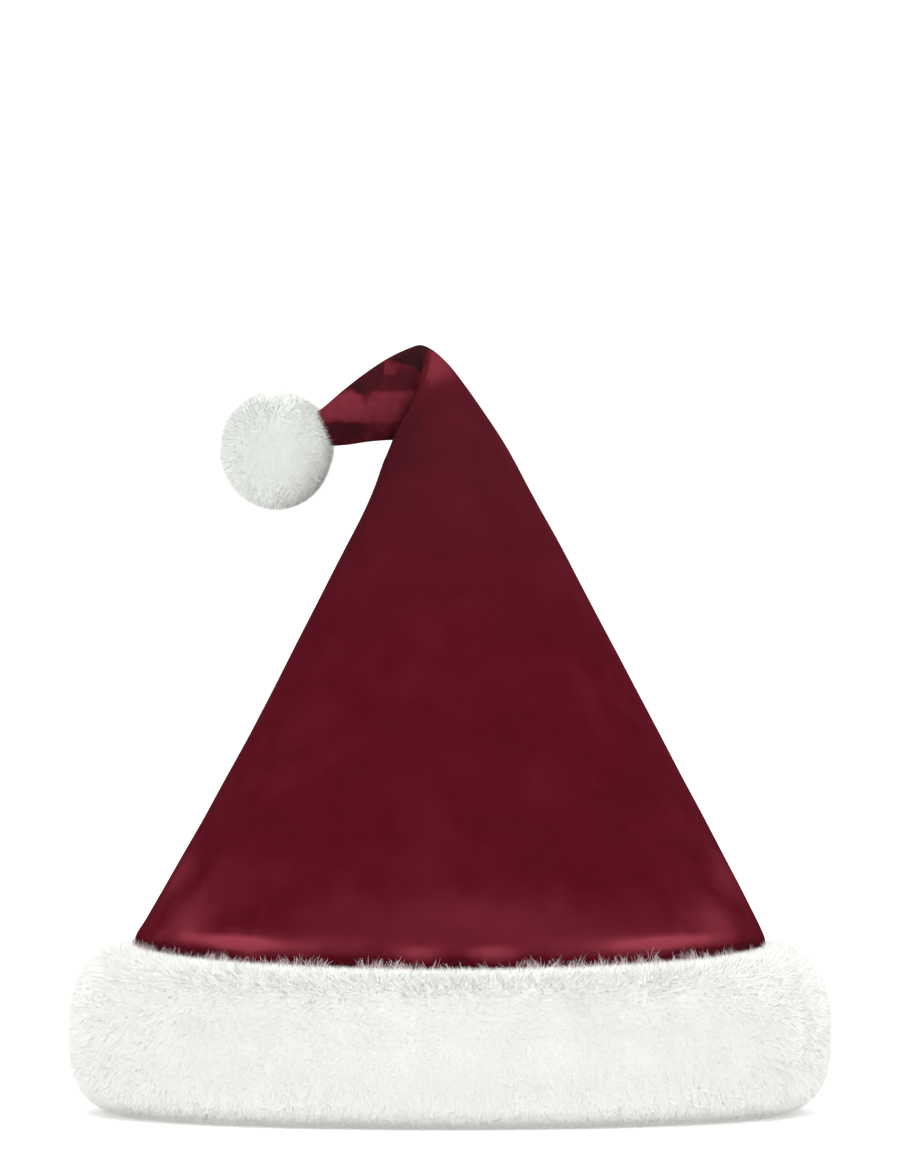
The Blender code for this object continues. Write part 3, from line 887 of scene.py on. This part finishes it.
wisp_angle = rng.uniform(0, 2 * math.pi, WISPS * 3)
round_points = np.stack((np.cos(wisp_angle), np.sin(wisp_angle), wisp_angle * 0), -1) * CROWN_RADIUS
gathered = lumps_on(round_points, WISP_TUFTS) + lumps_on(round_points, SMALL_TUFTS)
sides = np.cos(wisp_angle) ** 4
grows = rng.uniform(*TUFT_RANGE, WISPS * 3) < gathered - FEWER_AT_SIDES * sides
kept = np.flatnonzero(grows)[:WISPS]
wisp_angle, round_points = wisp_angle[kept], round_points[kept]
gathered, sides = gathered[kept], sides[kept]
count = len(kept)
outward = round_points / CROWN_RADIUS
round_way = np.cross((0, 0, 1), outward)
root = outward * rng.uniform(*WISP_ROOT_RADIUS, count)[:, None]
root[:, 2] = fur_line(wisp_angle) - rng.uniform(*WISP_ROOT_DEPTH, count)
spread = lumps_on(round_points, PARTED) + rng.normal(0, PARTED_STRAYS, count)
lay = np.array((0, 0, 1)) + round_way * spread[:, None] - outward * WISP_TO_VELVET
lay /= np.linalg.norm(lay, axis=1, keepdims=True)
length = rng.uniform(*WISP_LENGTH, count) * (1 + LONGER_IN_TUFTS * np.clip(gathered, -0.6, 1))
wisps = grow_strands(
    "velvet_line_wisps",
    root,
    outward,
    lay,
    length * (1 - SHORTER_AT_SIDES * sides),
    np.radians(rng.uniform(*WISP_STANDS, count)),
    rng.uniform(*WISP_WIDTH, count),
    rng,
    bent=True,
)
wisps.data.materials.append(fur("wisp_fur", WISP_ROOTS, WISP_TIPS))
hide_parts("brim")
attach(wisps, "root")

# Pompom
# A stuffed ball of the same white fur, sewn on the gathered tip and a little taller than wide. Its
# strands lie every way with a slight droop, and where the tip goes in some reach over the velvet.
POMPOM_CENTRE = np.array((-55.1, 0.0, 210.2))
POMPOM_RADIUS = np.array((17.9, 17.7, 19.1))
CORE_SHARE = 0.87
CORE_ROWS = 40
CORE_COLUMNS = 72
POLE_GAP = 0.03
POMPOM_STRANDS = 110000
DRIFT = 0.15
DRIFT_ROUND = 18
DRIFT_SIZE = 7
DRIFT_SEEDS = (41, 42, 43)
DROOP = 0.15
EVERY_WAY = 0.6
POMPOM_STANDS = (44, 56)
POMPOM_REACH = 0.99
POMPOM_UNEVEN = 0.05
POMPOM_ROOTS = (0.94, 0.965, 0.93, 1)
POMPOM_TIPS = (0.97, 0.99, 0.96, 1)

# How close to the tip no strand grows, and how far from it the strands of uneven length go
TIP_CLEAR = 0.5
TIP_FRINGE = 4
FRINGE_LENGTH = (0.85, 1.4)

core_rows = []
for turn in np.linspace(-math.pi / 2 + POLE_GAP, math.pi / 2 - POLE_GAP, CORE_ROWS):
    around = np.linspace(0, 2 * math.pi, CORE_COLUMNS, endpoint=False)
    ring = np.stack((np.cos(turn) * np.cos(around), np.cos(turn) * np.sin(around)), -1)
    ring = np.concatenate((ring, np.full((CORE_COLUMNS, 1), math.sin(turn))), 1)
    core_rows.append(POMPOM_CENTRE + ring * POMPOM_RADIUS * CORE_SHARE)
pompom_core = mesh_of_rows("pompom_core", np.array(core_rows))
pompom_core.data.materials.append(fur_cloth())
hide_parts("pompom")
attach(pompom_core, "root")

# The strands' roots are spread evenly over the ball, each a golden turn round from the last.
number = np.arange(POMPOM_STRANDS)
up = 1 - 2 * (number + 0.5) / POMPOM_STRANDS
around = number * math.pi * (3 - math.sqrt(5))
level = np.sqrt(1 - up**2)
outward = np.stack((level * np.cos(around), level * np.sin(around), up), -1)
root = POMPOM_CENTRE + outward * POMPOM_RADIUS * CORE_SHARE
middles = [(section.inner_x + section.outer_x) / 2 for section in TIP][::-1]
tip_z = np.interp(root[:, 0], middles, [(s.inner_z + s.outer_z) / 2 for s in TIP][::-1])
tip_half_z = np.interp(root[:, 0], middles, [abs(s.outer_z - s.inner_z) / 2 for s in TIP][::-1])
tip_half_y = np.interp(root[:, 0], middles, [s.half_depth for s in TIP][::-1])
off_tip_z = np.abs(root[:, 2] - tip_z)
in_tip, by_tip = (
    (root[:, 1] / (tip_half_y + away)) ** 2 + (off_tip_z / (tip_half_z + away)) ** 2 < 1
    for away in (TIP_CLEAR, TIP_FRINGE)
)
by_tip &= root[:, 0] > POMPOM_CENTRE[0]
kept = np.flatnonzero(~(in_tip & by_tip))
outward, root = outward[kept], root[kept]
count = len(kept)
drift = [soft_noise(outward * DRIFT_ROUND, DRIFT_SIZE, seed) for seed in DRIFT_SEEDS]
lay = np.stack(drift, -1) * DRIFT + np.array((0, 0, -DROOP)) + rng.normal(0, EVERY_WAY, (count, 3))
lay -= outward * np.sum(lay * outward, 1, keepdims=True)
lay /= np.linalg.norm(lay, axis=1, keepdims=True) + 1e-6
lift = np.radians(rng.uniform(*POMPOM_STANDS, count))
room = np.linalg.norm(outward * POMPOM_RADIUS, axis=1) * (1 - CORE_SHARE)
room = room * rng.normal(POMPOM_REACH, POMPOM_UNEVEN, count)
length = room / np.sin(lift) * np.where(by_tip[kept], rng.uniform(*FRINGE_LENGTH, count), 1)
pompom_pile = grow_strands(
    "pompom_pile",
    root,
    outward,
    lay,
    length,
    lift,
    np.full(count, STRAND_WIDTH),
    rng,
    facing=lit_way(outward, up=0.2, down=0.5, tilt=0.1),
)
pompom_pile.data.materials.append(fur("pompom_fur", POMPOM_ROOTS, POMPOM_TIPS))
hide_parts("pompom")
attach(pompom_pile, "root")

# Stage
# A pale floor that rises all round into a wall, so that no edge shows behind the hat. One large
# soft box hangs over it and two smaller ones stand to the left and right. Sizes are in metres.
STAGE_LEVEL = ((0.02, 0), (1.0, 0), (3.0, 0), (6.4, 0))
STAGE_WALL = ((7.6, 0.15), (8.5, 0.6), (9.1, 1.4), (9.4, 2.6), (9.5, 4.5))
STAGE_COLUMNS = 96
FLOOR_WHITE = (0.95, 0.95, 0.95, 1)
FLOOR_GLOW = 0.22
SKY_LIGHT = 0.9
AIM_HEIGHT = 0.12

stage_rows = []
for radius, z in STAGE_LEVEL + STAGE_WALL:
    around = np.linspace(0, 2 * math.pi, STAGE_COLUMNS, endpoint=False)
    ring = (radius * np.cos(around), radius * np.sin(around), np.full(STAGE_COLUMNS, z))
    stage_rows.append(np.stack(ring, -1) / MM)
floor = mesh_of_rows("floor", np.array(stage_rows)[::-1])
paint = bpy.data.materials.new("pale_floor")
paint.use_nodes = True
shader = paint.node_tree.nodes["Principled BSDF"]
shader.inputs["Base Color"].default_value = FLOOR_WHITE
shader.inputs["Roughness"].default_value = 0.9
shader.inputs["Emission Color"].default_value = (1, 1, 1, 1)
shader.inputs["Emission Strength"].default_value = FLOOR_GLOW
floor.data.materials.append(paint)

world = bpy.data.worlds.new("studio")
bpy.context.scene.world = world
world.use_nodes = True
sky = world.node_tree.nodes["Background"]
sky.inputs["Color"].default_value = (1, 1, 1, 1)
sky.inputs["Strength"].default_value = SKY_LIGHT

Lamp = namedtuple("Lamp", "name place size power")
for lamp in (
    Lamp("top_softbox", (0.0, -0.2, 2.4), 2.0, 56),
    Lamp("left_softbox", (-2.2, -1.6, 1.2), 1.4, 7),
    Lamp("right_softbox", (2.2, -1.6, 1.4), 1.4, 8),
):
    light = bpy.data.lights.new(lamp.name, "AREA")
    light.size = lamp.size
    light.energy = lamp.power
    made = bpy.data.objects.new(lamp.name, light)
    made.location = lamp.place
    aim = Vector((0, 0, AIM_HEIGHT)) - Vector(lamp.place)
    made.rotation_euler = aim.to_track_quat("-Z", "Y").to_euler()
    bpy.context.scene.collection.objects.link(made)

# Camera
# Five metres off, with a long lens, and as high as the hat's peak, so that it looks down by less
# than one degree. One pixel of the photo's frame is taken as 0.317 mm at the hat.
DISTANCE = 5.0
CAMERA_RISE = math.radians(0.95)
LOOK_AT_HEIGHT = 0.1664
FRAME_PIXELS = 1176
PIXEL = 0.317
FRAME_HEIGHT = FRAME_PIXELS * PIXEL * MM
SENSOR_HEIGHT = 24.0
camera_data = bpy.data.cameras.new("camera")
camera_data.sensor_fit = "VERTICAL"
camera_data.sensor_height = SENSOR_HEIGHT
camera_data.lens = SENSOR_HEIGHT * DISTANCE / FRAME_HEIGHT
camera_data.clip_end = 60
camera = bpy.data.objects.new("camera", camera_data)
look_at = Vector((0.0, 0.0, LOOK_AT_HEIGHT))
camera.location = look_at + DISTANCE * Vector((0, -math.cos(CAMERA_RISE), math.sin(CAMERA_RISE)))
camera.rotation_euler = (look_at - camera.location).to_track_quat("-Z", "Y").to_euler()
bpy.context.scene.collection.objects.link(camera)
bpy.context.scene.camera = camera
bpy.context.scene.view_settings.view_transform = "Standard"

# White fur looks white because light bounces many times from strand to strand.
bpy.context.scene.cycles.diffuse_bounces = 12
